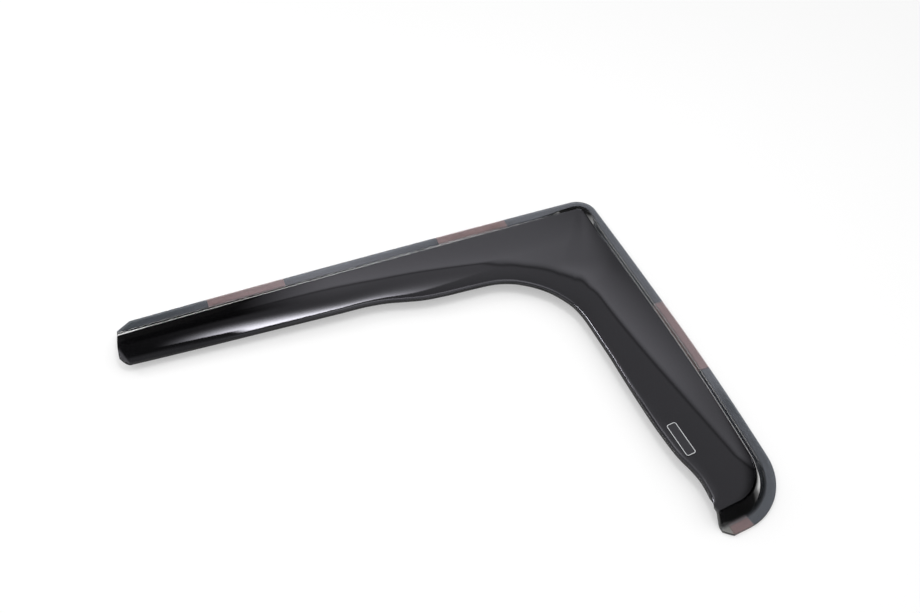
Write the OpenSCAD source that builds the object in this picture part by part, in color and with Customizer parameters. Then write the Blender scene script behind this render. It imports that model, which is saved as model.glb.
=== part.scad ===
// Window rain deflector for a front door, lying on its mounting flange.
// The shell is lofted through stations set along the mounting edge.
// Each station runs over the flange, up the step and out over the face to the rolled free edge.

/* [Mounting edge] */
// Length of the leg along the top of the window
long_leg = 551; // [420:1:700]
// Sideways turn of the long leg from end to end, in degrees
long_turn = 1.6; // [0:0.1:4]
// Outer radius of the corner between the legs
apex_r = 23.3; // [20:0.1:45]
// Turn of the corner between the legs, in degrees
apex_turn = 88; // [70:0.1:100]
// Length of the pillar leg between the corner and the toe
pillar_leg = 379; // [300:1:520]
// Turn of the lower half of the pillar leg, in degrees
pillar_turn = 3.5; // [1:0.1:8]
// Outer radius of the toe that wraps the foot of the pillar leg
toe_r = 63.8; // [55:0.1:80]
// Turn of the toe, in degrees
toe_turn = 81; // [70:0.5:84]
// Straight run past the toe
toe_tail = 25; // [20:0.5:28]

/* [Sheet] */
// Thickness of the acrylic sheet
sheet_t = 3; // [2:0.1:3.4]
// Flange width up to the foot of the step
flange_w = 11; // [10:0.5:14]
// Offset of the ridge from the mounting edge, rear end of the long leg
ridge_rear = 19.8; // [18:0.1:24]
// Offset of the ridge from the mounting edge, front end of the long leg and corner
ridge_front = 17.6; // [16.5:0.1:18.5]
// Offset of the ridge from the mounting edge, pillar leg
ridge_pillar = 22.5; // [20:0.1:23.5]
// Offset of the ridge from the mounting edge, end of the toe
ridge_toe = 19.5; // [18:0.1:22]
// Height of the step along the long leg
step_long = 4; // [3:0.1:6]
// Height of the step along the pillar leg and round the toe
step_pillar = 14.8; // [9:0.1:18]
// Radius at the foot of the step
foot_r = 3; // [1:0.1:4]
// Outer radius of the ridge
ridge_r = 3.8; // [3.5:0.1:5]

/* [Face] */
// Width over flange and face at the rear end
rear_w = 68; // [60:0.5:80]
// Width over flange and face ahead of the wave in the free edge
mid_w = 86; // [80:0.5:96]
// Extra width past the wave
wave_w = 17; // [8:0.5:24]
// Width over flange and face on the pillar leg
pillar_w = 97; // [88:0.5:106]
// Height of the face at the free edge, rear end
edge_z_rear = 13; // [11:0.1:16]
// Height of the face at the free edge, middle of the long leg
edge_z_mid = 17.5; // [15:0.1:20]
// Height of the face at the free edge, corner and pillar leg
edge_z_pillar = 20; // [19:0.1:24]
// Slope down to the free edge at the rear end, in degrees
drop_rear = 28; // [20:1:34]
// Slope down to the free edge elsewhere, in degrees
drop_pillar = 9; // [6:1:14]
// Outer radius of the rolled free edge
lip_r = 4.5; // [4:0.1:6]
// Slope at which the rolled free edge ends, in degrees
lip_turn = 74; // [50:1:85]
// Straight run at the end of the rolled edge
lip_run = 1.2; // [0.6:0.1:2]
// Rounding of the rear corner of the face
corner_r = 10; // [6:0.5:14]
// Depth of the corner cut from the flange at the rear end
rear_cut = 10; // [5:0.5:10]
// Length of that corner cut along the flange
rear_cut_run = 15; // [10:0.5:24]
// Depth of the corner cut from the flange at the toe end
toe_cut = 7.5; // [3:0.5:9]

/* [Tape] */
// Width of the mounting tape
tape_w = 9; // [7:0.1:9.2]
// Thickness of the foam tape
tape_t = 0.8; // [0.5:0.1:1.5]
// Thickness of the peel-off liner film
liner_t = 0.2; // [0.1:0.05:0.4]
// Distance from the mounting edge to the tape
tape_inset = 0.4; // [0.2:0.1:0.6]
// Length of each tape on the long leg
tape_long_len = 88; // [50:1:110]
// Length of the tape on the pillar leg
tape_pillar_len = 100; // [60:1:130]
// Length of the tape past the toe
tape_toe_len = 21; // [15:0.5:22]

/* [Label] */
// Length of the label on the pillar leg
label_len = 38; // [28:0.5:46]
// Width of the label
label_w = 10.2; // [8:0.1:13]
// Corner radius of the label
label_r = 2.4; // [1:0.1:3]
// Thickness of the label's field
label_t = 0.5; // [0.3:0.05:1]
// Height of the rim above the field
label_rim_h = 0.2; // [0.1:0.05:0.4]
// Width of the rim
label_rim_w = 0.7; // [0.4:0.05:1]

/* [Hidden] */

// The pillar leg turns less in its upper half: its turn in degrees, and the length of each half
upper_turn = 1.2;
pillar_half = pillar_leg / 2;
// Edge break on the mounting edge
edge_break = 0.6;
// Clearance between the label and the highest facet under it
label_gap = 0.15;
// Slope up from the ridge: rear end, middle, corner and pillar leg, in degrees
rise_rear = 22;
rise_mid = 12;
rise_apex = 8;
rise_pillar = 8;
// Height of the flange's top and underside over the surface that the part lies on
flange_under = tape_t + liner_t;
flange_top = flange_under + sheet_t;
ridge_z_long = flange_top + step_long;
ridge_z_pillar = flange_top + step_pillar;

// The mounting edge is a chain of tangent arcs, each a length and a turn to the right
function arc_len(r, turn) = r * turn * PI / 180;
apex_len = arc_len(apex_r, apex_turn);
toe_len = arc_len(toe_r, toe_turn);
CHAIN = [[long_leg, long_turn], [apex_len, apex_turn], [pillar_half, upper_turn],
         [pillar_half, pillar_turn], [toe_len, toe_turn], [toe_tail, 0]];
function chain_sum(i) = i == 0 ? 0 : chain_sum(i - 1) + CHAIN[i - 1][0];
function chord(run, turn) = abs(turn) < 0.001 ? run : run * sin(turn / 2) / (turn / 2 * PI / 180);
// A pose is x, y and heading, and advance() moves it along one arc
function advance(pose, run, turn) =
    [pose[0] + chord(run, turn) * cos(pose[2] - turn / 2),
     pose[1] + chord(run, turn) * sin(pose[2] - turn / 2),
     pose[2] - turn];
function joint_pose(i) = i == 0 ? [0, 0, 0] : advance(joint_pose(i - 1), CHAIN[i - 1][0], CHAIN[i - 1][1]);
START = [for (i = [0:len(CHAIN)]) chain_sum(i)];
JOINT = [for (i = [0:len(CHAIN)]) joint_pose(i)];
edge_len = START[len(CHAIN)];
function link_at(s, i = 0) = i == len(CHAIN) - 1 || s < START[i + 1] ? i : link_at(s, i + 1);
function pose_at(s) =
    let (i = link_at(s), run = s - START[i])
    advance(JOINT[i], run, CHAIN[i][1] * run / CHAIN[i][0]);
// Distance along the mounting edge of a share of one link of the chain
function at(link, share) = START[link] + share * CHAIN[link][0];

// Guide for the free edge: place along the mounting edge, direction across the part, reach
mid_step_w = mid_w + wave_w;
GUIDE = [
    [at(0, 0), -91.6, rear_w],
    [at(0, 0.24), -90, rear_w + 0.55 * (mid_w - rear_w)],
    [at(0, 0.42), -89.4, mid_w - 1.6],
    [at(0, 0.48), -89.4, mid_w],
    [at(0, 0.513), -89.6, mid_w + 0.16 * wave_w],
    [at(0, 0.55), -90.3, mid_w + 0.46 * wave_w],
    [at(0, 0.586), -90.5, mid_w + 0.76 * wave_w],
    [at(0, 0.631), -90.6, mid_w + 0.94 * wave_w],
    [at(0, 0.686), -91, mid_step_w + 0.6],
    [at(0, 0.74), -92, mid_step_w + 3],
    [at(0, 0.795), -97.9, mid_step_w + 9.8],
    [at(0, 0.849), -105.7, mid_step_w + 20.3],
    [at(0, 0.913), -113.7, mid_step_w + 37.4],
    [at(1, 0), -122.1, mid_step_w + 68],
    [at(1, 0.5), -125.2, mid_step_w + 75.2],
    [at(2, 0), -127.6, pillar_w + 76.3],
    [at(2, 0.186), -132, pillar_w + 55.9],
    [at(2, 0.397), -138.5, pillar_w + 36.9],
    [at(2, 0.608), -146.7, pillar_w + 22.2],
    [at(2, 0.82), -155.8, pillar_w + 11.7],
    [at(3, 0.031), -164.8, pillar_w + 5],
    [at(3, 0.243), -172.5, pillar_w + 1.9],
    [at(3, 0.454), -177.7, pillar_w],
    [at(3, 0.718), -180.4, pillar_w - 3.3],
    [at(3, 0.877), -181, pillar_w - 7.6],
    [at(4, 0), -185.1, pillar_w - 12.8],
    [at(4, 0.236), -192.3, pillar_w - 18.2],
    [at(4, 0.509), -203.5, pillar_w - 28.2],
    [at(4, 0.781), -217.3, pillar_w - 42.5],
    [at(5, 0), -231.9, pillar_w - 56.3],
    [at(5, 0.5), -244.6, pillar_w - 65.8],
    [edge_len, -265.9, pillar_w - 70.4]];
last_row = len(GUIDE) - 1;
function aim(g) = let (p = pose_at(g[0])) [p[0] + g[2] * cos(g[1]), p[1] + g[2] * sin(g[1])];
AIMS = [for (g = GUIDE) aim(g)];
function gap_after(i) = GUIDE[i + 1][0] - GUIDE[i][0];
function drift(i) = (AIMS[i + 1] - AIMS[i]) / gap_after(i);
SLOPES = [for (i = [0:last_row])
    i == 0 ? drift(0) : i == last_row ? drift(last_row - 1)
    : (gap_after(i - 1) * drift(i) + gap_after(i) * drift(i - 1)) / (gap_after(i - 1) + gap_after(i))];
function row_at(s, i = 0) = i == last_row - 1 || s < GUIDE[i + 1][0] ? i : row_at(s, i + 1);
// Smooth curve through the guide's points
function guided(s) =
    let (i = row_at(s), run = gap_after(i), t = (s - GUIDE[i][0]) / run)
    AIMS[i] * (1 + 2 * t) * pow(1 - t, 2) + AIMS[i + 1] * t * t * (3 - 2 * t)
    + SLOPES[i] * run * t * pow(1 - t, 2) - SLOPES[i + 1] * run * t * t * (1 - t);
// Smooth change from a to b between two places
function ease(t) = let (c = min(max(t, 0), 1)) c * c * (3 - 2 * c);
function blend(a, b, s0, s1, s) = a + (b - a) * ease((s - s0) / (s1 - s0));
function share(a, b, t) = a + (b - a) * t;

// Free edge seen from above, with the rear corner rounded
function corner_loss(s) = s < corner_r ? corner_r * pow(1 - s / corner_r, 2) : 0;
function free_point(s) = guided(s) - corner_loss(s) * [cos(GUIDE[0][1]), sin(GUIDE[0][1])];
function unit(v) = v / norm(v);
probe = 0.5;
function free_normal(s) =
    let (c = min(max(s, corner_r + probe), edge_len - probe))
    let (d = unit(free_point(c + probe) - free_point(c - probe)))
    [d[1], -d[0]];

// The flange is a little wider on the long leg, and narrower round the corner between the legs
long_widen = 1.5;
apex_narrow = 3;
apex_reach = 55;
// Distance from the long leg's ridge at which the ridge has its height on the pillar leg
climb_run = 100;

// Sizes that change along the part
function flange_end(s) =
    s < START[1] ? flange_w + blend(long_widen, -apex_narrow, START[1] - apex_reach, START[1], s)
    : flange_w - blend(apex_narrow, 0, START[2], START[2] + apex_reach, s);
apex_from = START[1] - 12;
toe_from = START[4];
wave_from = at(0, 0.48);
function ridge_offset(s) =
    s < apex_from ? share(ridge_rear, ridge_front, s / apex_from)
    : s < toe_from ? blend(ridge_front, ridge_pillar, START[2] - 12, START[2] + apex_reach, s)
    : blend(ridge_pillar, ridge_toe, toe_from, START[5], s);
// Distance from the line of the long leg's ridge down the pillar leg
function below_ridge(s) =
    let (r = apex_r - ridge_front, turn = apex_turn * (s - START[1]) / apex_len)
    s < START[1] ? 0 : s < START[2] ? r * (1 - cos(turn)) : r * (1 - cos(apex_turn)) + s - START[2];
function ridge_z(s) =
    let (left = max(0, 1 - below_ridge(s) / climb_run))
    share(ridge_z_pillar, ridge_z_long, left * left);
function face_z(s) =
    s < wave_from ? blend(edge_z_rear, edge_z_mid, 0, wave_from, s)
    : s < toe_from ? blend(edge_z_mid, edge_z_pillar, wave_from, START[2], s)
    : blend(edge_z_pillar, ridge_z_pillar + 0.4, toe_from, edge_len, s);
function drop_angle(s) = blend(drop_rear, drop_pillar, 0, at(0, 0.6), s);
function rise_angle(s) =
    s < wave_from ? blend(rise_rear, rise_mid, 0, wave_from, s)
    : s < START[2] ? blend(rise_mid, rise_apex, wave_from, START[2], s)
    : blend(rise_apex, rise_pillar, START[2], START[3], s);
function lip_end(s) =
    s < corner_r ? blend(drop_rear + 8, lip_turn, 0, corner_r, s)
    : blend(lip_turn, drop_pillar + 4, START[5] - 12, edge_len - 4, s);
function lip_tail(s) = blend(lip_run, 0.4, START[5], edge_len, s);
// The roll points square off the free edge, and off the mounting edge where the two close up
function lip_dir(s, dir) =
    let (k = ease((s - START[5]) / toe_tail))
    unit((1 - k) * free_normal(s) + k * dir);
function flange_cut(s) =
    max(0, rear_cut * (1 - s / rear_cut_run), toe_cut * (1 - (edge_len - s) / toe_cut));

// Points of a bend of radius r that turns the slope from a to b about the corner at (w, z)
foot_steps = 3;
ridge_steps = 4;
face_steps = 9;
lip_steps = 4;
function bend(w, z, a, b, r, steps) =
    let (side = b > a ? 1 : -1, back = r * tan(abs(b - a) / 2))
    let (w0 = w - back * cos(a), z0 = z - back * sin(a))
    [for (i = [0:steps]) let (f = a + (b - a) * i / steps)
        [w0 + r * side * (sin(f) - sin(a)), z0 - r * side * (cos(f) - cos(a)), f]];

// A lofted point is x, y, z and the unit normal of the outer surface
function raised(base, dir, w, z, slope) =
    [base[0] + dir[0] * w, base[1] + dir[1] * w, z,
     -sin(slope) * dir[0], -sin(slope) * dir[1], cos(slope)];
function edge_points(s, base, dir) =
    let (cut = flange_cut(s), zr = ridge_z(s), wr = ridge_offset(s), foot = flange_end(s))
    let (wall = atan2(zr - flange_top, wr - foot))
    concat([raised(base, dir, cut, flange_top - edge_break, 45),
            raised(base, dir, cut + edge_break, flange_top, 0)],
           [for (p = bend(foot, flange_top, 0, wall, foot_r, foot_steps))
               raised(base, dir, p[0], p[1], p[2])],
           [for (p = bend(wr, zr, wall, rise_angle(s), ridge_r, ridge_steps))
               raised(base, dir, p[0], p[1], p[2])]);
function lip_points(s, free, out) =
    let (a = drop_angle(s), b = lip_end(s), z = face_z(s))
    let (run = lip_tail(s), length = lip_r * (sin(b) - sin(a)) + run * cos(b))
    let (start = [free[0] - out[0] * length, free[1] - out[1] * length])
    concat([for (i = [0:lip_steps]) let (f = a + (b - a) * i / lip_steps)
               raised(start, out, lip_r * (sin(f) - sin(a)), z - lip_r * (cos(a) - cos(f)), -f)],
           [raised(free, out, 0, z - lip_r * (cos(a) - cos(b)) - run * sin(b), -b)]);
// The face is one smooth arch from the ridge to the rolled edge
function face_points(s, from, to) =
    let (gap = [to[0] - from[0], to[1] - from[1]], span = norm(gap), dir = gap / span)
    let (up = tan(rise_angle(s)), down = tan(drop_angle(s)))
    let (knee = (to[2] - from[2] + span * down) / (up + down))
    let (w1 = min(max(knee, 0.05 * span), 0.95 * span), z1 = from[2] + w1 * up)
    [for (i = [1:face_steps - 1]) let (t = i / face_steps)
        let (w = 2 * t * (1 - t) * w1 + t * t * span)
        let (z = pow(1 - t, 2) * from[2] + 2 * t * (1 - t) * z1 + t * t * to[2])
        let (dw = 2 * (1 - t) * w1 + 2 * t * (span - w1))
        let (dz = 2 * (1 - t) * (z1 - from[2]) + 2 * t * (to[2] - z1))
        raised(from, dir, w, z, atan2(dz, dw))];
function station(s) =
    let (pose = pose_at(s), dir = [sin(pose[2]), -cos(pose[2])])
    let (near = edge_points(s, pose, dir), far = lip_points(s, free_point(s), lip_dir(s, dir)))
    concat(near, face_points(s, near[len(near) - 1], far[0]), far);

// Stations lie closer where the outline turns
function steps_in(link, from, to, count) =
    [for (i = [0:count - 1]) at(link, from + (to - from) * i / count)];
rear_share = rear_cut_run / long_leg;
toe_share = 1 - toe_cut / toe_tail;
PLACES = concat(steps_in(0, 0, rear_share, 4), steps_in(0, rear_share, 0.46, 9),
                steps_in(0, 0.46, 0.72, 12), steps_in(0, 0.72, 1, 9), steps_in(1, 0, 1, 10),
                steps_in(2, 0, 1, 11), steps_in(3, 0, 1, 12), steps_in(4, 0, 1, 13),
                steps_in(5, 0, toe_share, 3), steps_in(5, toe_share, 1, 2), [edge_len]);
STATIONS = [for (s = PLACES) station(s)];
rows = len(PLACES);
across = len(STATIONS[0]);
ring = 2 * across;
xs = [for (st = STATIONS) for (p = st) p[0]];
ys = [for (st = STATIONS) for (p = st) p[1]];
centre = [(min(xs) + max(xs)) / 2, (min(ys) + max(ys)) / 2];

// Outer surface first, then the inner surface one thickness below it
function outer_point(p) = [p[0], p[1], p[2]];
function inner_point(p, first) =
    first ? [p[0], p[1], flange_under] : [for (k = [0:2]) p[k] - sheet_t * p[k + 3]];
SHELL_POINTS = [for (st = STATIONS) for (j = [0:ring - 1])
    j < across ? outer_point(st[j]) : inner_point(st[ring - 1 - j], j == ring - 1)];
function quad(a, b, c, d) = [[a, b, c], [a, c, d]];
SKIN = [for (i = [0:rows - 2]) for (j = [0:ring - 1])
    let (k = (j + 1) % ring, a = i * ring, b = a + ring)
    for (f = quad(a + j, b + j, b + k, a + k)) f];
last_ring = (rows - 1) * ring;
REAR_CAP = [for (j = [0:across - 2]) for (f = quad(j, j + 1, ring - 2 - j, ring - 1 - j)) f];
TOE_CAP = [for (j = [0:across - 2])
    for (f = quad(ring - 1 - j, ring - 2 - j, j + 1, j)) [for (v = f) v + last_ring]];

// Strip that follows the mounting edge, seen from above
function strip(s0, s1, w0, w1, steps) =
    let (side = function(s, w) let (p = pose_at(s)) [p[0] + w * sin(p[2]), p[1] - w * cos(p[2])])
    concat([for (i = [0:steps]) side(share(s0, s1, i / steps), w0)],
           [for (i = [steps:-1:0]) side(share(s0, s1, i / steps), w1)]);
tape_rear_from = at(0, 0.182);
tape_front_from = at(0, 0.68);
tape_pillar_from = at(2, 0.862);
tape_toe_from = edge_len - toe_cut - 1.5 - tape_toe_len;

// Place of the label on the pillar leg: share of the lower half, distance in from the free edge
label_share = 0.8;
label_inset = 12.8;
// Turn of the label from the mounting edge, in degrees
label_turn = 5;
label_s = at(3, label_share);

module placed() {
    translate([-centre[0], -centre[1], 0]) children();
}

module visor_shell() {
    color("#2b2c2e") placed()
        polyhedron(points = SHELL_POINTS, faces = concat(SKIN, REAR_CAP, TOE_CAP), convexity = 12);
}

module tape_strip(from, length) {
    color("#4a4446") placed() translate([0, 0, liner_t]) linear_extrude(tape_t)
        polygon(strip(from, from + length, tape_inset, tape_inset + tape_w, 8));
}

module liner_strip(from, length) {
    color("#b3302c") placed() linear_extrude(liner_t)
        polygon(strip(from, from + length, tape_inset, tape_inset + tape_w, 8));
}

module rounded_plate(length, width, r) {
    square([length - 2 * r, width], center = true);
    square([length, width - 2 * r], center = true);
    for (x = [-1, 1], y = [-1, 1])
        translate([x * (length / 2 - r), y * (width / 2 - r)]) circle(r, $fn = 32);
}

// Points of the outer surface along the line across the face at one station
function face_at(s, inset) =
    let (st = station(s), free = free_point(s))
    let (near = [for (i = [across - 1:-1:10]) if (norm([st[i][0], st[i][1]] - free) >= inset) i])
    let (a = near[0], b = a + 1)
    let (da = norm([st[a][0], st[a][1]] - free), db = norm([st[b][0], st[b][1]] - free))
    let (t = (inset - db) / (da - db))
    [for (k = [0:2]) share(st[b][k], st[a][k], t)];

module label() {
    middle = face_at(label_s, label_inset);
    turn = pose_at(label_s)[2] + label_turn;
    heading = [cos(turn), sin(turn), 0];
    next = face_at(label_s + label_len / 2, label_inset) - face_at(label_s - label_len / 2, label_inset);
    over = face_at(label_s, label_inset - label_w / 2) - face_at(label_s, label_inset + label_w / 2);
    up = unit(cross(over, next));
    along = unit(heading - (heading * up) * up);
    side = cross(up, along);
    lift = label_gap * up;
    color("#c9cbcd") placed()
        multmatrix([[along[0], side[0], up[0], middle[0] + lift[0]],
                    [along[1], side[1], up[1], middle[1] + lift[1]],
                    [along[2], side[2], up[2], middle[2] + lift[2]],
                    [0, 0, 0, 1]])
        difference() {
            linear_extrude(label_t + label_rim_h) rounded_plate(label_len, label_w, label_r);
            translate([0, 0, label_t]) linear_extrude(label_rim_h + 1)
                rounded_plate(label_len - 2 * label_rim_w, label_w - 2 * label_rim_w, label_r - label_rim_w);
        }
}

visor_shell();
tape_strip(tape_rear_from, tape_long_len);  // tape_long_rear
liner_strip(tape_rear_from, tape_long_len);  // liner_long_rear
tape_strip(tape_front_from, tape_long_len);  // tape_long_front
liner_strip(tape_front_from, tape_long_len);  // liner_long_front
tape_strip(tape_pillar_from, tape_pillar_len);  // tape_pillar
liner_strip(tape_pillar_from, tape_pillar_len);  // liner_pillar
tape_strip(tape_toe_from, tape_toe_len);  // tape_toe
liner_strip(tape_toe_from, tape_toe_len);  // liner_toe
label();
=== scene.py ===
import math

import bpy
from mathutils import Matrix, Vector


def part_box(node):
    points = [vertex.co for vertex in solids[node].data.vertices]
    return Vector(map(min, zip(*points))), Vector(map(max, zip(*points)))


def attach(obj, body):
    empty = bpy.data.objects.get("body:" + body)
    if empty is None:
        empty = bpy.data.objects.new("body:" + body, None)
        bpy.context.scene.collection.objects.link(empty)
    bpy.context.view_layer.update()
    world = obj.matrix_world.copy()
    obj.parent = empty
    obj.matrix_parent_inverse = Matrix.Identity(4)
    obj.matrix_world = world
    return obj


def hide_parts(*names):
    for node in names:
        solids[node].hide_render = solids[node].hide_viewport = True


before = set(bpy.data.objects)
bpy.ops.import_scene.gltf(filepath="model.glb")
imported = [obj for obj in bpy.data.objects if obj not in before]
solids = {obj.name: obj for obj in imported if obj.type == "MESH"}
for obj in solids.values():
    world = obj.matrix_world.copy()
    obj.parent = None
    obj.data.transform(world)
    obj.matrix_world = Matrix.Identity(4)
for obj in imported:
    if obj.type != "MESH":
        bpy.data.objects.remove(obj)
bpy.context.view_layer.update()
MM = 0.001

# Camera of the photo: place in metres, compass heading, downward tilt and roll in degrees
CAMERA_AT = (-0.1759, -0.5185, 0.7667)
CAMERA_HEADING = 21.46
CAMERA_TILT = 48.13
CAMERA_ROLL = -0.46
LENS_MM = 35.98
SENSOR_MM = 36.0

# Sizes of the visor in millimetres and degrees, those of the solids but for the face's rise at the corner
LONG_LEG, LONG_TURN = 551.0, 1.6
APEX_R, APEX_TURN = 23.3, 88.0
PILLAR_HALF, UPPER_TURN, PILLAR_TURN = 189.5, 1.2, 3.5
TOE_R, TOE_TURN, TOE_TAIL = 63.8, 81.0, 25.0
SHEET_T = 3.0
FLANGE_W, LONG_WIDEN, APEX_NARROW, APEX_REACH = 11.0, 1.5, 3.0, 55.0
RIDGE_REAR, RIDGE_FRONT, RIDGE_PILLAR, RIDGE_TOE, CLIMB_RUN = 19.8, 17.6, 22.5, 19.5, 100.0
STEP_LONG, STEP_PILLAR = 4.0, 14.8
FOOT_R, RIDGE_R = 3.0, 3.8
REAR_W, MID_W, WAVE_W, PILLAR_W = 68.0, 86.0, 17.0, 97.0
EDGE_Z_REAR, EDGE_Z_MID, EDGE_Z_PILLAR = 13.0, 17.5, 20.0
DROP_REAR, DROP_PILLAR = 28.0, 9.0
LIP_R, LIP_TURN, LIP_RUN, LIP_TAIL_RUN = 4.5, 74.0, 1.2, 0.4
CORNER_R, REAR_CUT, REAR_CUT_RUN, TOE_CUT = 10.0, 10.0, 15.0, 7.5
TAPE_T, LINER_T = 0.8, 0.2
TAPE_LONG, TAPE_PILLAR, TAPE_TOE = 88.0, 100.0, 21.0
RISE_REAR, RISE_MID, RISE_APEX, RISE_APEX_LAST, RISE_PILLAR = 22.0, 12.0, 10.4, 9.7, 8.0
EDGE_BREAK = 0.6
END_ROUND = 0.4
# Places where the free edge drops, where the wave starts and where one run blends into the next
DROP_SHARE, WAVE_SHARE, BLEND_LEAD = 0.6, 0.48, 12.0
# How the rolled edge fades at the two ends, and the lift of the free edge at the toe
REAR_LIP_MORE, TOE_LIP_MORE, LIP_FADE_END, TOE_LIFT = 8.0, 4.0, 4.0, 0.4
# Shares of the face between which the arch bends, and the share of the flange's paler tint at the foot of the
# step, from which it fades up the step into the face's painted shade
KNEE_NEAR, KNEE_FAR = 0.05, 0.95
FOOT_TINT = 0.6
# The sheet's underside is drawn this far over the tapes, so that the two faces don't fight
SEAT_GAP = 0.03

FLANGE_UNDER = TAPE_T + LINER_T
FLANGE_TOP = FLANGE_UNDER + SHEET_T
RIDGE_Z_LONG = FLANGE_TOP + STEP_LONG
RIDGE_Z_PILLAR = FLANGE_TOP + STEP_PILLAR


def sin(a):
    return math.sin(math.radians(a))


def cos(a):
    return math.cos(math.radians(a))


def tan(a):
    return math.tan(math.radians(a))


def arc_len(r, turn):
    return r * math.radians(turn)


# The mounting edge as a chain of links, each with its length and its turn to the right
CHAIN = [
    (LONG_LEG, LONG_TURN),
    (arc_len(APEX_R, APEX_TURN), APEX_TURN),
    (PILLAR_HALF, UPPER_TURN),
    (PILLAR_HALF, PILLAR_TURN),
    (arc_len(TOE_R, TOE_TURN), TOE_TURN),
    (TOE_TAIL, 0.0),
]


STRAIGHT = 0.001


def advance(pose, run, turn):
    """Pose at the end of an arc of the given run and turn."""
    half = math.radians(turn / 2)
    chord = run if abs(turn) < STRAIGHT else run * math.sin(half) / half
    x, y, heading = pose
    return (x + chord * cos(heading - turn / 2), y + chord * sin(heading - turn / 2), heading - turn)


START, JOINT = [0.0], [(0.0, 0.0, 0.0)]
for length, turn in CHAIN:
    START.append(START[-1] + length)
    JOINT.append(advance(JOINT[-1], length, turn))
EDGE_LEN = START[-1]


def pose_at(s):
    """Point of the mounting edge at run s, and its heading."""
    link = 0
    while link < len(CHAIN) - 1 and s >= START[link + 1]:
        link += 1
    run = s - START[link]
    return advance(JOINT[link], run, CHAIN[link][1] * run / CHAIN[link][0])


def at(link, share):
    return START[link] + share * CHAIN[link][0]


# The free edge: for places along the mounting edge, the direction and the distance to it
STEP_W = MID_W + WAVE_W
GUIDE = [
    (at(0, 0), -91.6, REAR_W),
    (at(0, 0.24), -90, REAR_W + 0.55 * (MID_W - REAR_W)),
    (at(0, 0.42), -89.4, MID_W - 1.6),
    (at(0, 0.48), -89.4, MID_W),
    (at(0, 0.513), -89.6, MID_W + 0.16 * WAVE_W),
    (at(0, 0.55), -90.3, MID_W + 0.46 * WAVE_W),
    (at(0, 0.586), -90.5, MID_W + 0.76 * WAVE_W),
    (at(0, 0.631), -90.6, MID_W + 0.94 * WAVE_W),
    (at(0, 0.686), -91, STEP_W + 0.6),
    (at(0, 0.74), -92, STEP_W + 3),
    (at(0, 0.795), -97.9, STEP_W + 9.8),
    (at(0, 0.849), -105.7, STEP_W + 20.3),
    (at(0, 0.913), -113.7, STEP_W + 37.4),
    (at(1, 0), -122.1, STEP_W + 68),
    (at(1, 0.5), -125.2, STEP_W + 75.2),
    (at(2, 0), -127.6, PILLAR_W + 76.3),
    (at(2, 0.186), -132, PILLAR_W + 55.9),
    (at(2, 0.397), -138.5, PILLAR_W + 36.9),
    (at(2, 0.608), -146.7, PILLAR_W + 22.2),
    (at(2, 0.82), -155.8, PILLAR_W + 11.7),
    (at(3, 0.031), -164.8, PILLAR_W + 5),
    (at(3, 0.243), -172.5, PILLAR_W + 1.9),
    (at(3, 0.454), -177.7, PILLAR_W),
    (at(3, 0.718), -180.4, PILLAR_W - 3.3),
    (at(3, 0.877), -181, PILLAR_W - 7.6),
    (at(4, 0), -185.1, PILLAR_W - 12.8),
    (at(4, 0.236), -192.3, PILLAR_W - 18.2),
    (at(4, 0.509), -203.5, PILLAR_W - 28.2),
    (at(4, 0.781), -217.3, PILLAR_W - 42.5),
    (at(5, 0), -231.9, PILLAR_W - 56.3),
    (at(5, 0.5), -244.6, PILLAR_W - 65.8),
    (EDGE_LEN, -265.9, PILLAR_W - 70.4),
]
LAST = len(GUIDE) - 1


def aim(row):
    x, y, _ = pose_at(row[0])
    return Vector((x + row[2] * cos(row[1]), y + row[2] * sin(row[1])))


AIMS = [aim(row) for row in GUIDE]
GAPS = [GUIDE[i + 1][0] - GUIDE[i][0] for i in range(LAST)]
DRIFTS = [(AIMS[i + 1] - AIMS[i]) / GAPS[i] for i in range(LAST)]
SLOPES = [DRIFTS[0]]
for i in range(1, LAST):
    SLOPES.append((GAPS[i - 1] * DRIFTS[i] + GAPS[i] * DRIFTS[i - 1]) / (GAPS[i - 1] + GAPS[i]))
SLOPES.append(DRIFTS[-1])


def guided(s):
    """Point of the free edge for run s, on a smooth curve through the aims."""
    i = 0
    while i < LAST - 1 and s >= GUIDE[i + 1][0]:
        i += 1
    run = GAPS[i]
    t = (s - GUIDE[i][0]) / run
    return (
        AIMS[i] * ((1 + 2 * t) * (1 - t) ** 2)
        + AIMS[i + 1] * (t * t * (3 - 2 * t))
        + SLOPES[i] * (run * t * (1 - t) ** 2)
        - SLOPES[i + 1] * (run * t * t * (1 - t))
    )


def ease(t):
    c = min(max(t, 0), 1)
    return c * c * (3 - 2 * c)


def blend(a, b, s0, s1, s):
    """Soft change from a at s0 to b at s1."""
    return a + (b - a) * ease((s - s0) / (s1 - s0))


def free_point(s):
    """The free edge, with its rear corner rounded."""
    loss = CORNER_R * (1 - s / CORNER_R) ** 2 if s < CORNER_R else 0
    return guided(s) - loss * Vector((cos(GUIDE[0][1]), sin(GUIDE[0][1])))


PROBE = 0.5
REAR_FREE = CORNER_R + PROBE


def free_normal(s):
    c = min(max(s, REAR_FREE), EDGE_LEN - PROBE)
    d = (free_point(c + PROBE) - free_point(c - PROBE)).normalized()
    return Vector((d.y, -d.x))


APEX_FROM = START[1] - BLEND_LEAD
WAVE_FROM = at(0, WAVE_SHARE)


def flange_end(s):
    if s < START[1]:
        return FLANGE_W + blend(LONG_WIDEN, -APEX_NARROW, START[1] - APEX_REACH, START[1], s)
    return FLANGE_W - blend(APEX_NARROW, 0, START[2], START[2] + APEX_REACH, s)


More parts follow.
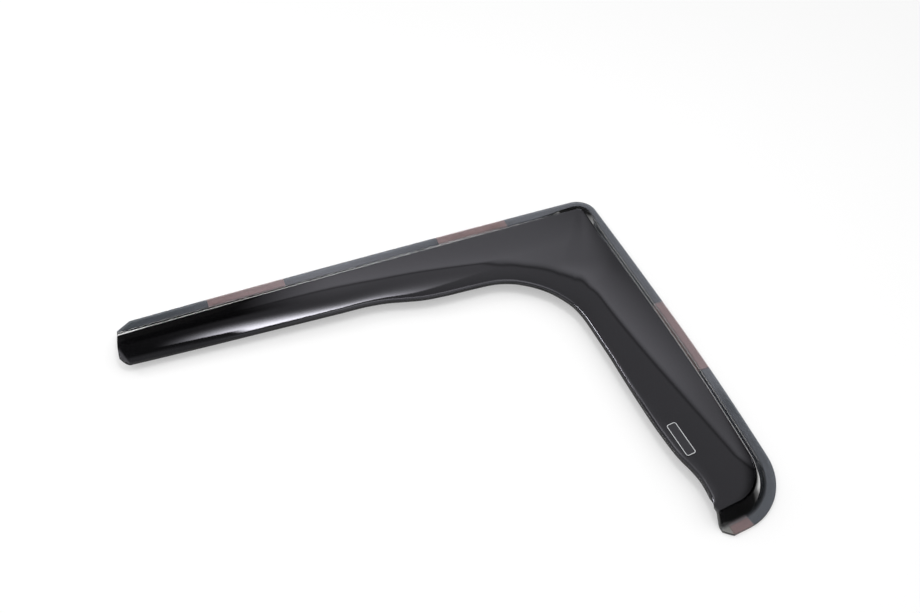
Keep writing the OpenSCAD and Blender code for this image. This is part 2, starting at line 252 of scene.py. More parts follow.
def ridge_offset(s):
    if s < APEX_FROM:
        return RIDGE_REAR + (RIDGE_FRONT - RIDGE_REAR) * s / APEX_FROM
    if s < START[4]:
        return blend(RIDGE_FRONT, RIDGE_PILLAR, START[2] - BLEND_LEAD, START[2] + APEX_REACH, s)
    return blend(RIDGE_PILLAR, RIDGE_TOE, START[4], START[5], s)


def below_ridge(s):
    """How far the ridge has come down the pillar leg."""
    r = APEX_R - RIDGE_FRONT
    if s < START[1]:
        return 0.0
    if s < START[2]:
        return r * (1 - cos(APEX_TURN * (s - START[1]) / (START[2] - START[1])))
    return r * (1 - cos(APEX_TURN)) + s - START[2]


def ridge_z(s):
    left = max(0.0, 1 - below_ridge(s) / CLIMB_RUN)
    return RIDGE_Z_PILLAR + (RIDGE_Z_LONG - RIDGE_Z_PILLAR) * left * left


def face_z(s):
    if s < WAVE_FROM:
        return blend(EDGE_Z_REAR, EDGE_Z_MID, 0, WAVE_FROM, s)
    if s < START[4]:
        return blend(EDGE_Z_MID, EDGE_Z_PILLAR, WAVE_FROM, START[2], s)
    return blend(EDGE_Z_PILLAR, RIDGE_Z_PILLAR + TOE_LIFT, START[4], EDGE_LEN, s)


def drop_angle(s):
    return blend(DROP_REAR, DROP_PILLAR, 0, at(0, DROP_SHARE), s)


def rise_angle(s):
    if s < WAVE_FROM:
        return blend(RISE_REAR, RISE_MID, 0, WAVE_FROM, s)
    if s < START[1]:
        return blend(RISE_MID, RISE_APEX, WAVE_FROM, START[1], s)
    if s < START[2]:
        return blend(RISE_APEX, RISE_APEX_LAST, START[1], START[2], s)
    return blend(RISE_APEX_LAST, RISE_PILLAR, START[2], START[3], s)


def lip_end(s):
    if s < CORNER_R:
        return blend(DROP_REAR + REAR_LIP_MORE, LIP_TURN, 0, CORNER_R, s)
    return blend(LIP_TURN, DROP_PILLAR + TOE_LIP_MORE, START[5] - BLEND_LEAD, EDGE_LEN - LIP_FADE_END, s)


def lip_dir(s, across):
    k = ease((s - START[5]) / TOE_TAIL)
    return (free_normal(s) * (1 - k) + across * k).normalized()


def flange_cut(s):
    return max(0, REAR_CUT * (1 - s / REAR_CUT_RUN), TOE_CUT * (1 - (EDGE_LEN - s) / TOE_CUT))


# Steps round one section of the sheet
FLANGE_STEPS, FOOT_STEPS, RIDGE_STEPS, FACE_STEPS, LIP_STEPS, ROUND_STEPS = 7, 7, 18, 26, 20, 3


def bend(w, z, a, b, r, steps):
    """Arc from slope a to slope b round the corner at w, z: offset, height and slope of each point."""
    side = 1 if b > a else -1
    back = r * tan(abs(b - a) / 2)
    w0, z0 = w - back * cos(a), z - back * sin(a)
    turns = [a + (b - a) * i / steps for i in range(steps + 1)]
    return [(w0 + r * side * (sin(f) - sin(a)), z0 - r * side * (cos(f) - cos(a)), f) for f in turns]


def section(s):
    """Outer points of one station from the mounting edge outward, with their normals and shares of flange."""
    x, y, heading = pose_at(s)
    base = Vector((x, y))
    across = Vector((sin(heading), -cos(heading)))
    points = []

    def add(origin, way, w, z, slope, flange=0.0):
        spot = origin + way * w
        normal = Vector((-sin(slope) * way.x, -sin(slope) * way.y, cos(slope)))
        points.append((Vector((spot.x, spot.y, z)), normal, flange))

    cut, zr, wr, foot = flange_cut(s), ridge_z(s), ridge_offset(s), flange_end(s)
    wall = math.degrees(math.atan2(zr - FLANGE_TOP, wr - foot))
    for i in range(ROUND_STEPS + 1):
        a = 90 * i / ROUND_STEPS
        w, z = cut + EDGE_BREAK * (1 - cos(a)), FLANGE_TOP - EDGE_BREAK * (1 - sin(a))
        add(base, across, w, z, 90 - a, 1.0)
    foot_bend = bend(foot, FLANGE_TOP, 0, wall, FOOT_R, FOOT_STEPS)
    flat_from, flat_to = cut + EDGE_BREAK, foot_bend[0][0]
    for i in range(1, FLANGE_STEPS):
        add(base, across, flat_from + (flat_to - flat_from) * i / FLANGE_STEPS, FLANGE_TOP, 0, 1.0)
    # Up the step the flange's paler tint fades into the near-black painted shade of the face
    for w, z, f in foot_bend:
        add(base, across, w, z, f, FOOT_TINT * (1 - f / wall))
    for w, z, f in bend(wr, zr, wall, rise_angle(s), RIDGE_R, RIDGE_STEPS):
        add(base, across, w, z, f)

    # The rolled edge, and the arch between the ridge and the roll
    free, out = free_point(s), lip_dir(s, across)
    a, b, z = drop_angle(s), lip_end(s), face_z(s)
    run = LIP_RUN + (LIP_TAIL_RUN - LIP_RUN) * ease((s - START[5]) / (EDGE_LEN - START[5]))
    start = free - out * (LIP_R * (sin(b) - sin(a)) + run * cos(b))
    first, last = points[-1][0], Vector((start.x, start.y, z))
    gap = Vector((last.x - first.x, last.y - first.y))
    span, way = gap.length, gap.normalized()
    up, down = tan(rise_angle(s)), tan(a)
    knee = min(max((last.z - first.z + span * down) / (up + down), KNEE_NEAR * span), KNEE_FAR * span)
    top = first.z + knee * up
    origin = Vector((first.x, first.y))
    for i in range(1, FACE_STEPS):
        t = i / FACE_STEPS
        w = 2 * t * (1 - t) * knee + t * t * span
        height = (1 - t) ** 2 * first.z + 2 * t * (1 - t) * top + t * t * last.z
        dw = 2 * (1 - t) * knee + 2 * t * (span - knee)
        dz = 2 * (1 - t) * (top - first.z) + 2 * t * (last.z - top)
        add(origin, way, w, height, math.degrees(math.atan2(dz, dw)))
    for i in range(LIP_STEPS + 1):
        f = a + (b - a) * i / LIP_STEPS
        add(start, out, LIP_R * (sin(f) - sin(a)), z - LIP_R * (cos(a) - cos(f)), -f)
    end = Vector((free.x, free.y, z - LIP_R * (cos(a) - cos(b)) - run * sin(b)))
    along = Vector((out.x * cos(b), out.y * cos(b), -sin(b)))
    return points, end, along


def ring_of(s, shrink=0.0):
    """Closed loop of one station: outer points, round free edge, inner points back to the mounting edge."""
    points, end, along = section(s)
    normal = points[-1][1]
    r = END_ROUND
    outer = [(p - n * shrink, m) for p, n, m in points]
    inner = []
    for i, (p, n, m) in enumerate(points):
        low = Vector((p.x, p.y, FLANGE_UNDER)) if i <= ROUND_STEPS else p - n * SHEET_T
        low.z = max(low.z, FLANGE_UNDER + SEAT_GAP)
        inner.append((low + n * shrink if i > ROUND_STEPS else low + Vector((0, 0, shrink)), m))
    for i in range(ROUND_STEPS + 1):
        a = 90 * i / ROUND_STEPS
        step = along * (r * sin(a) - r)
        outer.append((end + step - normal * (r * (1 - cos(a)) + shrink * cos(a)), 0.0))
        inner.append((end + step - normal * (SHEET_T - r * (1 - cos(a)) - shrink * cos(a)), 0.0))
    return outer + inner[::-1]


# Tapes: where each starts along the mounting edge, and its length
REAR_TAPE_SHARE, FRONT_TAPE_SHARE, PILLAR_TAPE_SHARE, TOE_TAPE_GAP = 0.182, 0.68, 0.862, 1.5
TAPES = {
    "long_rear": (at(0, REAR_TAPE_SHARE), TAPE_LONG),
    "long_front": (at(0, FRONT_TAPE_SHARE), TAPE_LONG),
    "pillar": (at(2, PILLAR_TAPE_SHARE), TAPE_PILLAR),
    "toe": (EDGE_LEN - TOE_CUT - TOE_TAPE_GAP - TAPE_TOE, TAPE_TOE),
}
# Stations on each link of the mounting edge, with close ones at the rear corner and a pair at each tape's end
COUNTS = (150, 40, 60, 80, 90, 16)
CORNER_SPACING, CORNER_COUNT, PAIR_HALF = 0.7, 21, 0.15
PLACES = {EDGE_LEN - END_ROUND}
for link, count in enumerate(COUNTS):
    PLACES |= {at(link, i / count) for i in range(count)}
PLACES |= {CORNER_SPACING * i for i in range(1, CORNER_COUNT + 1)}
for begin, length in TAPES.values():
    for end in (begin, begin + length):
        PLACES |= {end - PAIR_HALF, end + PAIR_HALF}
PLACES = sorted(s for s in PLACES if END_ROUND < s < EDGE_LEN - END_ROUND)


def visor_rings():
    """Place and shrink of each ring. A fine groove runs round the sheet just inside each of its two ends."""
    angles = [90 * i / ROUND_STEPS for i in range(ROUND_STEPS + 1)]
    rear = [(END_ROUND * sin(a), END_ROUND * (1 - cos(a))) for a in angles]
    toe = [(EDGE_LEN - run, shrink) for run, shrink in reversed(rear)]
    return rear + [(s, 0.0) for s in PLACES] + toe


def near_tape(s):
    """Whether the run lies over a tape."""
    return any(begin <= s <= begin + length for begin, length in TAPES.values())


def shaped_rings():
    """Place and loop of every station, with the face softened at the corner."""
    rings = [(s, ring_of(s, shrink)) for s, shrink in visor_rings()]
    soften_corner(rings)
    return rings


# Rounding of the face where the legs meet: reach of the average, how far along the legs it goes, its fade
SOFT_RUN, SOFT_REACH, SOFT_FADE = 14.0, 60.0, 60.0
FACE_FROM = (ROUND_STEPS + 1) + (FLANGE_STEPS - 1) + (FOOT_STEPS + 1) + (RIDGE_STEPS + 1)


def soften_corner(rings):
    """The height of each line along the face is averaged over the near part of that line, by distance."""
    first, last = START[1] - SOFT_REACH - SOFT_FADE, START[2] + SOFT_REACH + SOFT_FADE
    near = [(s, ring) for s, ring in rings if first < s < last]
    shares = [ease((s - first) / SOFT_FADE) * ease((last - s) / SOFT_FADE) for s, _ in near]
    for j in range(FACE_FROM, FACE_FROM + FACE_STEPS - 1):
        t = (j - FACE_FROM + 1) / FACE_STEPS
        spread = SOFT_RUN * 4 * t * (1 - t)
        line = [ring[j][0] for _, ring in near]
        runs = [0.0]
        for a, b in zip(line, line[1:]):
            runs.append(runs[-1] + math.hypot(b.x - a.x, b.y - a.y))
        end = len(runs) - 1
        widths = [(runs[min(k + 1, end)] - runs[max(k - 1, 0)]) / 2 for k in range(len(runs))]
        heights = [p.z for p in line]
        for i, share in enumerate(shares):
            bells = [math.exp(-((run - runs[i]) / spread) ** 2 / 2) for run in runs]
            weights = [width * bell for width, bell in zip(widths, bells)]
            mean = sum(w * z for w, z in zip(weights, heights)) / sum(weights)
            lift = share * (mean - heights[i])
            ring = near[i][1]
            for point, _ in (ring[j], ring[len(ring) - 1 - j]):
                point.z += lift


def fit_to_box(rings, low, high):
    """Shift in X and Y, in millimetres, and stretch in Z that bring the rings into the solid's box."""
    xs, ys, zs = zip(*(p for _, ring in rings for p, _ in ring))
    shift_x = (min(xs) + max(xs)) / 2 - (low[0] + high[0]) / 2 / MM
    shift_y = (min(ys) + max(ys)) / 2 - (low[1] + high[1]) / 2 / MM
    return Vector((shift_x, shift_y, high[2] / MM / max(zs)))


SHARP_ANGLE = 42


def visor_piece(rings, fit):
    """Mesh of the visor, with marks for the flange, its parts over a tape and its bare end past the tape,
    which place the sheet's painted light and shade.
    """
    loop = len(rings[0][1])
    toe_tape_end = sum(TAPES["toe"])
    points, flange, bond, bare = [], [], [], []
    for s, ring in rings:
        for p, share in ring:
            points.append(((p.x - fit.x) * MM, (p.y - fit.y) * MM, p.z * fit.z * MM))
            flange.append(share)
            bond.append(share if near_tape(s) else 0.0)
            bare.append(share if s > toe_tape_end else 0.0)
    faces = []
    for i in range(len(rings) - 1):
        a, b = i * loop, (i + 1) * loop
        for j in range(loop):
            k = (j + 1) % loop
            faces.append((a + k, b + k, b + j, a + j))
    last = (len(rings) - 1) * loop
    for j in range(loop // 2 - 1):
        a, b, c, d = j, j + 1, loop - 2 - j, loop - 1 - j
        faces.append((d, c, b, a))
        faces.append((last + a, last + b, last + c, last + d))
    mesh = bpy.data.meshes.new("visor")
    mesh.from_pydata(points, [], faces)
    for name, values in (("flange", flange), ("bond", bond), ("bare", bare)):
        mesh.attributes.new(name, "FLOAT", "POINT").data.foreach_set("value", values)
    mesh.shade_smooth()
    mesh.set_sharp_from_angle(angle=math.radians(SHARP_ANGLE))
    mesh.update()
    piece = bpy.data.objects.new("visor", mesh)
    bpy.context.collection.objects.link(piece)
    return piece


def new_material(name):
    """A material with a Principled BSDF, and its nodes and links."""
    material = bpy.data.materials.new(name)
    material.use_nodes = True
    tree = material.node_tree
    return material, tree.nodes["Principled BSDF"], tree.nodes, tree.links


def speckle(nodes, links, scale, detail, low, high):
    """A noise pattern that runs from one value to another."""
    place = nodes.new("ShaderNodeTexCoord")
    noise = nodes.new("ShaderNodeTexNoise")
    noise.inputs["Scale"].default_value = scale
    noise.inputs["Detail"].default_value = detail
    links.new(place.outputs["Object"], noise.inputs["Vector"])
    span = nodes.new("ShaderNodeMapRange")
    span.inputs["To Min"].default_value = low
    span.inputs["To Max"].default_value = high
    links.new(noise.outputs["Fac"], span.inputs["Value"])
    return noise, span


def tinted(nodes, links, factor, dark, pale):
    """Ramp from the dark to the pale colour."""
    ramp = nodes.new("ShaderNodeValToRGB")
    ramp.color_ramp.elements[0].color = (*dark, 1)
    ramp.color_ramp.elements[1].color = (*pale, 1)
    links.new(factor, ramp.inputs["Fac"])
    return ramp


# Sockets of a colour mix: its two colours and its result
MIX_FIRST, MIX_SECOND, MIX_RESULT = 6, 7, 2


def mixed(nodes, links, factor, first, second):
    """Colour mix of a socket or a plain colour with another, by a factor socket."""
    mix = nodes.new("ShaderNodeMix")
    mix.data_type = "RGBA"
    links.new(factor, mix.inputs["Factor"])
    for place, colour in ((MIX_FIRST, first), (MIX_SECOND, second)):
        if isinstance(colour, tuple):
            mix.inputs[place].default_value = (*colour, 1)
        else:
            links.new(colour, mix.inputs[place])
    return mix.outputs[MIX_RESULT]


def mark(nodes, name):
    """One of the marks that the visor's mesh carries."""
    attribute = nodes.new("ShaderNodeAttribute")
    attribute.attribute_name = name
    return attribute.outputs["Fac"]


# Tints of the smoked acrylic, which is one sheet. The face's near-black tint is painted shade for the dark
# under the raised face. The flange is seen against what lies under it; over the tapes it is tinted paler,
# partly the tapes' own colour and partly painted light, and past the toe's tape it is tinted paler by painted
# light alone
FACE_DARK, FACE_PALE = (0.006, 0.006, 0.007), (0.009, 0.009, 0.010)
FLANGE_TINT = (0.195, 0.21, 0.232)
BOND_TAPE_AND_PAINTED_LIGHT = (0.52, 0.46, 0.46)
BARE_PAINTED_LIGHT = (0.42, 0.42, 0.40)


def smoke_acrylic():
    material, surface, nodes, links = new_material("smoke acrylic")
    noise, rough = speckle(nodes, links, scale=60, detail=2, low=0.02, high=0.03)
    face = tinted(nodes, links, noise.outputs["Fac"], FACE_DARK, FACE_PALE)
    colour = face.outputs["Color"]
    # The marks lay these tints on: the face keeps its near-black painted shade, the flange its own paler
    # tint, and the parts over the tapes and past the toe's tape their paler tints of painted light
    for name, tint in (("flange", FLANGE_TINT), ("bond", BOND_TAPE_AND_PAINTED_LIGHT), ("bare", BARE_PAINTED_LIGHT)):
        colour = mixed(nodes, links, mark(nodes, name), colour, tint)
    links.new(colour, surface.inputs["Base Color"])
    links.new(rough.outputs["Result"], surface.inputs["Roughness"])
    surface.inputs["Transmission Weight"].default_value = 1.0
    surface.inputs["IOR"].default_value = 1.5
    return material


def plain(name, dark, pale, scale, rough_low, rough_high):
    material, surface, nodes, links = new_material(name)
    noise, rough = speckle(nodes, links, scale, 3, rough_low, rough_high)
    ramp = tinted(nodes, links, noise.outputs["Fac"], dark, pale)
    links.new(ramp.outputs["Color"], surface.inputs["Base Color"])
    links.new(rough.outputs["Result"], surface.inputs["Roughness"])
    return material


# Label: heights over its underside between which the field turns into the rim, and the colours of both
RIM_FROM, RIM_TO = 0.58 * MM, 0.66 * MM
FIELD_DARK, FIELD_PALE, RIM_COLOUR = (0.012, 0.012, 0.013), (0.018, 0.018, 0.02), (0.55, 0.56, 0.57)


def label_plate(piece):
    """Dark glossy field with a pale rim, told apart by the height over the plate's own underside."""
    material, surface, nodes, links = new_material("label plate")
    spots = [v.co for v in piece.data.vertices]
    middle = sum(spots, Vector()) / len(spots)
    up = max(piece.data.polygons, key=lambda face: face.area).normal.copy()
    if up.z < 0:
        up.negate()
    base = min((v - middle).dot(up) for v in spots)
    place = nodes.new("ShaderNodeTexCoord")
    offset = nodes.new("ShaderNodeVectorMath")
    offset.operation = "SUBTRACT"
    offset.inputs[1].default_value = middle
    links.new(place.outputs["Object"], offset.inputs[0])
    height = nodes.new("ShaderNodeVectorMath")
    height.operation = "DOT_PRODUCT"
    height.inputs[1].default_value = up
    links.new(offset.outputs["Vector"], height.inputs[0])
    rim = nodes.new("ShaderNodeMapRange")
    rim.inputs["From Min"].default_value = base + RIM_FROM
    rim.inputs["From Max"].default_value = base + RIM_TO
    links.new(height.outputs["Value"], rim.inputs["Value"])
    noise, rough = speckle(nodes, links, scale=300, detail=2, low=0.06, high=0.1)
    field = tinted(nodes, links, noise.outputs["Fac"], FIELD_DARK, FIELD_PALE)
    colour = mixed(nodes, links, rim.outputs["Result"], field.outputs["Color"], RIM_COLOUR)
    links.new(colour, surface.inputs["Base Color"])
    links.new(rough.outputs["Result"], surface.inputs["Roughness"])
    return material


def dress(piece, material):
    piece.data.materials.clear()
    piece.data.materials.append(material)


rings = shaped_rings()
visor = visor_piece(rings, fit_to_box(rings, *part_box("visor_shell")))
dress(visor, smoke_acrylic())
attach(visor, "root")
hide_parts("visor_shell")

foam = plain("foam tape", (0.8, 0.66, 0.65), (0.9, 0.76, 0.75), scale=900, rough_low=0.8, rough_high=0.95)
film = plain("liner film", (0.55, 0.03, 0.03), (0.62, 0.05, 0.04), scale=200, rough_low=0.35, rough_high=0.5)
for run in TAPES:
    dress(solids["tape_" + run], foam)
    dress(solids["liner_" + run], film)
dress(solids["label"], label_plate(solids["label"]))


class Graph:
    """Short hand for the sums of a node tree: every value is a socket or a number."""

    def __init__(self, tree):
        self.nodes, self.links = tree.nodes, tree.links

    def give(self, socket, value):
        if isinstance(value, (int, float)):
            socket.default_value = value
        else:
            self.links.new(value, socket)

    def maths(self, kind, first, second=0.0):
        node = self.nodes.new("ShaderNodeMath")
        node.operation = kind
        self.give(node.inputs[0], first)
        self.give(node.inputs[1], second)
        return node.outputs["Value"]

    def add(self, *values):
        total = values[0]
        for value in values[1:]:
            total = self.maths("ADD", total, value)
        return total

    def times(self, *values):
        total = values[0]
        for value in values[1:]:
            total = self.maths("MULTIPLY", total, value)
        return total

    def less(self, value):
        """What is left of 1."""
        return self.maths("SUBTRACT", 1.0, value)

    def rise(self, value, span, first=0.0, last=1.0):
        """Soft step from first at the low end of the span to last at its high end."""
        node = self.nodes.new("ShaderNodeMapRange")
        node.interpolation_type = "SMOOTHSTEP"
        for name, number in zip(("From Min", "From Max", "To Min", "To Max"), (*span, first, last)):
            node.inputs[name].default_value = number
        self.links.new(value, node.inputs["Value"])
        return node.outputs["Result"]

    def fall(self, value, span):
        return self.rise(value, span, 1.0, 0.0)

    def between(self, value, span, soft):
        """1 inside the span, with soft borders."""
        low, high = span
        begin = self.rise(value, (low - soft, low + soft))
        return self.times(begin, self.fall(value, (high - soft, high + soft)))

    def mix(self, factor, first, second):
        return self.add(self.times(self.less(factor), first), self.times(factor, second))

    def hill(self, value, middle, spread):
        """Squared distance from the middle in spreads, for a bell curve."""
        part = self.maths("DIVIDE", self.maths("SUBTRACT", value, middle), spread)
        return self.times(part, part)

    def bell(self, distance, share):
        return self.maths("EXPONENT", self.times(distance, share))

    def line(self, x, y, point, normal):
        """Signed distance from the line through the point."""
        along_x, along_y = self.times(x, normal[0]), self.times(y, normal[1])
        return self.add(along_x, along_y, -point[0] * normal[0] - point[1] * normal[1])

    def place(self, kind):
        """X, Y and Z of the shaded point, from one output of the texture coordinates."""
        split = self.nodes.new("ShaderNodeSeparateXYZ")
        self.links.new(self.nodes.new("ShaderNodeTexCoord").outputs[kind], split.inputs["Vector"])
        return split.outputs["X"], split.outputs["Y"], split.outputs["Z"]

    def path(self, kind):
        """1 for a ray of the kind, such as Camera."""
        return self.nodes.new("ShaderNodeLightPath").outputs["Is " + kind + " Ray"]

    def mirrored(self):
        """1 for a ray that was mirrored, 0 for one that went through clear plastic."""
        return self.times(self.path("Glossy"), self.less(self.path("Transmission")))


# Pale floor. The camera sees it lifted toward white, so that the shadow stays soft
FLOOR_SIZE = 14
FLOOR_COLOUR, FLOOR_SEEN_COLOUR = 0.86, 0.60
FLOOR_LIFT, FLOOR_LIFT_THROUGH = 0.36, 0.14
# In reflections alone the floor glows with painted light and shade: brighter on the far side, on the right
# and in a spot by the toe, and dark in two places.
# Spans are in metres, in X and Y
FLOOR_GLOW_NEAR, FLOOR_GLOW_DIMMING = 0.9, 0.93
FLOOR_GLOW_FAR, FAR_X, FAR_Y = 14.0, (0.22, 0.28), (0.26, 0.30)
FLOOR_GLOW_RIGHT, RIGHT_X, RIGHT_Y, RIGHT_SOFT = 4.0, (0.34, 0.38), (-0.18, 0.10), 0.03
FLOOR_GLOW_TOE, TOE_X, TOE_X_SOFT, TOE_Y, TOE_Y_SOFT = 3.0, (0.262, 0.284), 0.004, (-0.216, -0.188), 0.006
DARK_FAR_X, DARK_FAR_Y = (0.22, 0.28), (0.20, 0.25)
DARK_TOE_X, DARK_TOE_Y = (0.225, 0.24), (-0.235, -0.222)


def painted_floor_glow(table):
    """Glow of the floor as the gloss sees it: painted light and shade, seen in reflections alone."""
    x, y, _ = table.place("Object")
    far_right = table.times(table.rise(y, DARK_FAR_Y), table.rise(x, DARK_FAR_X))
    past_toe = table.times(table.rise(x, DARK_TOE_X), table.fall(y, DARK_TOE_Y))
    near = table.times(FLOOR_GLOW_NEAR, table.less(table.times(FLOOR_GLOW_DIMMING, table.add(far_right, past_toe))))
    far = table.times(FLOOR_GLOW_FAR, table.rise(y, FAR_Y), table.fall(x, FAR_X))
    right = table.times(FLOOR_GLOW_RIGHT, table.rise(x, RIGHT_X), table.between(y, RIGHT_Y, RIGHT_SOFT))
    by_toe = table.times(FLOOR_GLOW_TOE, table.between(x, TOE_X, TOE_X_SOFT), table.between(y, TOE_Y, TOE_Y_SOFT))
    return table.add(near, far, right, by_toe)


def lay_floor():
    bpy.ops.mesh.primitive_plane_add(size=FLOOR_SIZE, location=(0, 0, 0))
    floor = bpy.context.object
    floor.name = "floor"
    material, surface, nodes, links = new_material("floor")
    table = Graph(material.node_tree)
    surface.inputs["Roughness"].default_value = 0.9
    surface.inputs["Specular IOR Level"].default_value = 0.0
    surface.inputs["Emission Color"].default_value = (1, 1, 1, 1)
    seen, through = table.path("Camera"), table.path("Transmission")
    grey = nodes.new("ShaderNodeCombineColor")
    for channel in ("Red", "Green", "Blue"):
        links.new(table.mix(seen, FLOOR_COLOUR, FLOOR_SEEN_COLOUR), grey.inputs[channel])
    links.new(grey.outputs["Color"], surface.inputs["Base Color"])
    lift = table.add(table.times(seen, FLOOR_LIFT), table.times(through, FLOOR_LIFT_THROUGH))
    links.new(lift, surface.inputs["Emission Strength"])
    # Emission that only mirrored rays see: the floor's painted light and shade
    gloss = nodes.new("ShaderNodeEmission")
    links.new(painted_floor_glow(table), gloss.inputs["Strength"])
    either = nodes.new("ShaderNodeMixShader")
    links.new(table.mirrored(), either.inputs[0])
    links.new(surface.outputs["BSDF"], either.inputs[1])
    links.new(gloss.outputs["Emission"], either.inputs[2])
    ending = next(node for node in nodes if node.type == "OUTPUT_MATERIAL")
    links.new(either.outputs["Shader"], ending.inputs["Surface"])
    floor.data.materials.append(material)


# Room round the part: white where the camera sees it, and even light for matt surfaces
ROOM_LIGHT = 0.88
# The gloss sees a dark room with pale walls. Each wall has its level, its span round the part in degrees
# from +Y toward +X, how soft its sides are, and the span of the sine of the height over which its top fades
ROOM_DARK = 0.04
WALLS = {
    "far": (14.0, (-9.0, 17.0), 2.0, (0.03, 0.07)),
    "far_right": (4.0, (52.0, 70.0), 3.0, (0.03, 0.07)),
    "right": (1.3, (50.5, 72.0), 3.8, (0.50, 0.69)),
    "left": (1.0, (-110.0, -35.0), 10.0, (0.80, 0.90)),
}
BACK_LEVEL, BACK_LEFT, BACK_RIGHT = 0.7, (-130.0, -115.0), (150.0, 165.0)


def build_room():
    world = bpy.data.worlds.new("studio")
    bpy.context.scene.world = world
    world.use_nodes = True
    room = Graph(world.node_tree)
    background = room.nodes["Background"]
    background.inputs["Color"].default_value = (1, 1, 1, 1)
    x, y, height = room.place("Generated")
    turn = room.times(room.maths("ARCTAN2", x, y), 180 / math.pi)
    walls = [room.times(level, room.between(turn, span, soft), room.fall(height, top))
             for level, span, soft, top in WALLS.values()]
    back = room.times(BACK_LEVEL, room.add(room.fall(turn, BACK_LEFT), room.rise(turn, BACK_RIGHT)))
    gloss = room.add(ROOM_DARK, *walls, back)
    white = room.maths("MAXIMUM", room.path("Camera"), room.path("Transmission"))
    room.give(background.inputs["Strength"],
              room.maths("MAXIMUM", white, room.mix(room.mirrored(), ROOM_LIGHT, gloss)))


# Lit cloth over the part, seen in the gloss alone. Spans and points are in metres, in X and Y
CLOTH_Z = 0.5
CLOTH_BOX = (-1.2, -1.0, 1.0, 2.0)
CLOTH_COLOUR = (0.99, 0.98, 1.08)
# A lamp glows through it above the rear half of the long leg, cut off on the left and along its lower border
LAMP_AT, LAMP_SPREAD, LAMP_SKEW, LAMP_LEVEL = (-0.12, 0.348), (0.15, 0.165), 0.4, 24.0
LAMP_LEFT, LAMP_REAR_Y, LAMP_REAR_X = (-0.31, -0.17), (0.36, 0.40), (-0.20, -0.165)
LAMP_BORDER_AT, LAMP_BORDER_WAY, LAMP_BORDER = (-0.2, 0.21), (-0.684, 0.73), (-0.02, 0.02)
# The rest is dim, with a brighter fold past three lines, each a point and a normal, and a crease before it
CLOTH_LEVEL, CLOTH_RIGHT, CLOTH_CHANGE = 0.75, 0.45, (0.55, 0.95)
FOLD_LINE = ((0.10, 1.24), (0.772, 0.636))
FOLD_NEAR_LINES = ((0.395, 0.0), (1.0, 0.0)), ((0.42, 0.40), (0.824, 0.567))
FOLD_LEVEL, FOLD_BORDER, FOLD_FADE = 0.75, (-0.02, 0.035), 0.2
FOLD_MORE, FOLD_MORE_Y, FOLD_MORE_SOFT = 0.5, (0.22, 0.58), 0.08
CREASE_LEVEL, CREASE_AT, CREASE_SPREAD = -0.35, -0.012, 0.012
# A dark drape hangs on the left and on the far side, and another past the toe
DRAPE_NEAR_X, DRAPE_NEAR = (-0.42, 0.35), 0.05
DRAPE_FAR_X, DRAPE_FAR, DRAPE_Y = (-0.13, 0.14), 0.02, (0.95, 1.2)
TOE_DRAPE_AT, TOE_DRAPE_WAY, TOE_DRAPE_BORDER = (0.6, -0.10), (-0.83, 0.55), (-0.06, 0.06)
# Four paler patches: beside the lamp, over the near side, at the left end and near the left end
TAIL_LEVEL, TAIL_X, TAIL_Y, TAIL_SOFT = 1.6, (-0.08, 0.22), (0.0, 0.27), 0.06
ABOVE_LEVEL, ABOVE_Y, ABOVE_LEFT, ABOVE_RIGHT = 0.8, (0.0, 0.25), (-0.3, -0.2), (0.15, 0.35)
WINDOW_LEVEL, WINDOW_X = 1.3, (-0.62, -0.46)
HAZE_LEVEL, HAZE_X, HAZE_Y = 0.4, (-0.3, -0.2), (0.1, 0.3)


def lamp_glow(weave, x, y):
    across = weave.hill(x, LAMP_AT[0], LAMP_SPREAD[0])
    along = weave.hill(weave.add(y, weave.times(x, -LAMP_SKEW)), LAMP_AT[1], LAMP_SPREAD[1])
    border = weave.rise(weave.line(x, y, LAMP_BORDER_AT, LAMP_BORDER_WAY), LAMP_BORDER)
    rear = weave.maths("MAXIMUM", weave.rise(y, LAMP_REAR_Y), weave.rise(x, LAMP_REAR_X))
    glow = weave.bell(weave.add(across, along), -0.5)
    return weave.times(LAMP_LEVEL, glow, weave.rise(x, LAMP_LEFT), border, rear)


def dim_cloth(weave, x, y):
    """The cloth away from the lamp: even, with its fold and crease, and darkened by the drapes."""
    near_lines = [weave.line(x, y, *line) for line in FOLD_NEAR_LINES]
    fold = weave.maths("MAXIMUM", weave.line(x, y, *FOLD_LINE), weave.maths("MINIMUM", *near_lines))
    level = weave.add(FOLD_LEVEL, weave.times(FOLD_MORE, weave.between(y, FOLD_MORE_Y, FOLD_MORE_SOFT)))
    fade = weave.bell(weave.maths("MAXIMUM", fold, 0.0), -1 / FOLD_FADE)
    bright = weave.times(level, weave.rise(fold, FOLD_BORDER), fade)
    crease = weave.times(CREASE_LEVEL, weave.bell(weave.hill(fold, CREASE_AT, CREASE_SPREAD), -1.0))
    cloth = weave.add(weave.rise(x, CLOTH_CHANGE, CLOTH_LEVEL, CLOTH_RIGHT), bright, crease)
    near_drape = weave.rise(x, DRAPE_NEAR_X, DRAPE_NEAR, 1.0)
    far_drape = weave.rise(x, DRAPE_FAR_X, DRAPE_FAR, 1.0)
    drape = weave.mix(weave.rise(y, DRAPE_Y), near_drape, far_drape)
    toe_drape = weave.rise(weave.line(x, y, TOE_DRAPE_AT, TOE_DRAPE_WAY), TOE_DRAPE_BORDER)
    return weave.times(cloth, drape, toe_drape)


def pale_patches(weave, x, y):
    tail = weave.times(TAIL_LEVEL, weave.between(y, TAIL_Y, TAIL_SOFT), weave.between(x, TAIL_X, TAIL_SOFT))
    sides = weave.times(weave.rise(x, ABOVE_LEFT), weave.fall(x, ABOVE_RIGHT))
    above = weave.times(ABOVE_LEVEL, weave.fall(y, ABOVE_Y), sides)
    window = weave.rise(x, WINDOW_X, WINDOW_LEVEL, 0.0)
    haze = weave.times(HAZE_LEVEL, weave.fall(y, HAZE_Y), weave.fall(x, HAZE_X))
    return weave.add(tail, above, window, haze)


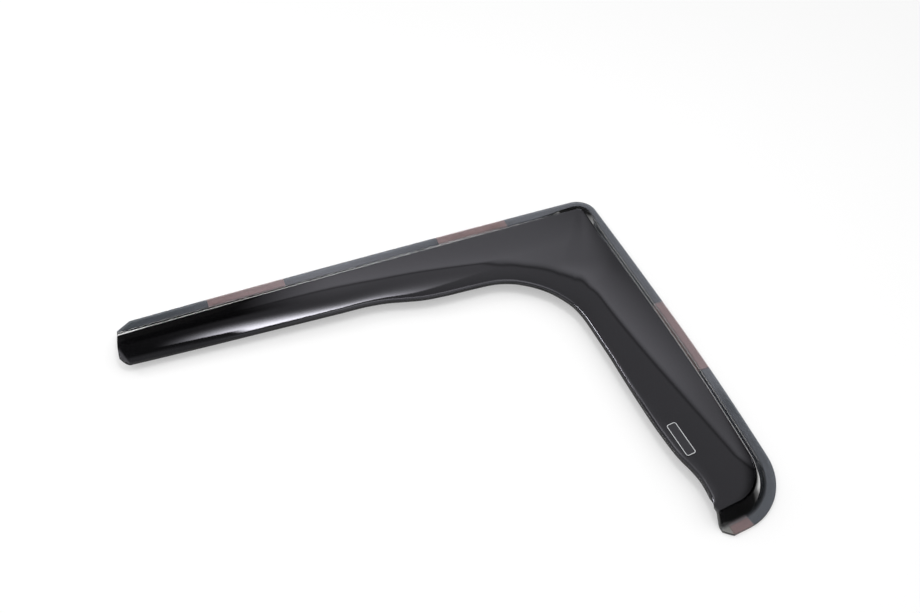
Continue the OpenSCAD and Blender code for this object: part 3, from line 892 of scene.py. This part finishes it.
def hang_cloth():
    x0, y0, x1, y1 = CLOTH_BOX
    corners = [(x, y, CLOTH_Z) for x, y in ((x0, y0), (x1, y0), (x1, y1), (x0, y1))]
    cloth = bpy.data.objects.new("lit cloth", bpy.data.meshes.new("lit cloth"))
    cloth.data.from_pydata(corners, [], [(0, 3, 2, 1)])
    bpy.context.scene.collection.objects.link(cloth)
    paint = bpy.data.materials.new("lit cloth")
    paint.use_nodes = True
    paint.node_tree.nodes.clear()
    weave = Graph(paint.node_tree)
    x, y, _ = weave.place("Object")
    level = weave.add(lamp_glow(weave, x, y), dim_cloth(weave, x, y), pale_patches(weave, x, y))
    shine = weave.nodes.new("ShaderNodeEmission")
    shine.inputs["Color"].default_value = (*CLOTH_COLOUR, 1)
    weave.links.new(level, shine.inputs["Strength"])
    ending = weave.nodes.new("ShaderNodeOutputMaterial")
    weave.links.new(shine.outputs["Emission"], ending.inputs["Surface"])
    cloth.data.materials.append(paint)
    cloth.visible_camera = cloth.visible_diffuse = cloth.visible_transmission = cloth.visible_shadow = False


# Lamps over the part, turned to its middle: place and size in metres, and power in watts
SOFTBOXES = {
    "overhead": ((0.12, 0.05, 1.1), (0.5, 0.22), 2.6),
    "left": ((-1.1, 1.2, 0.9), (0.5, 0.5), 4.0),
}


def softbox(name, at, size, watts):
    lamp = bpy.data.lights.new(name, "AREA")
    lamp.shape = "RECTANGLE"
    lamp.size, lamp.size_y = size
    lamp.energy = watts
    body = bpy.data.objects.new(name, lamp)
    bpy.context.collection.objects.link(body)
    body.location = at
    body.rotation_euler = (-Vector(at)).to_track_quat("-Z", "Y").to_euler()


def set_camera():
    camera = bpy.data.objects.new("camera", bpy.data.cameras.new("camera"))
    bpy.context.collection.objects.link(camera)
    camera.data.lens = LENS_MM
    camera.data.sensor_width = SENSOR_MM
    camera.data.dof.use_dof = False
    camera.matrix_world = (
        Matrix.Translation(CAMERA_AT)
        @ Matrix.Rotation(math.radians(-CAMERA_HEADING), 4, "Z")
        @ Matrix.Rotation(math.radians(90 - CAMERA_TILT), 4, "X")
        @ Matrix.Rotation(math.radians(CAMERA_ROLL), 4, "Z")
    )
    bpy.context.scene.camera = camera


lay_floor()
build_room()
hang_cloth()
for name, (at_point, size, watts) in SOFTBOXES.items():
    softbox(name, at_point, size, watts)
set_camera()
bpy.context.scene.view_settings.view_transform = "Standard"
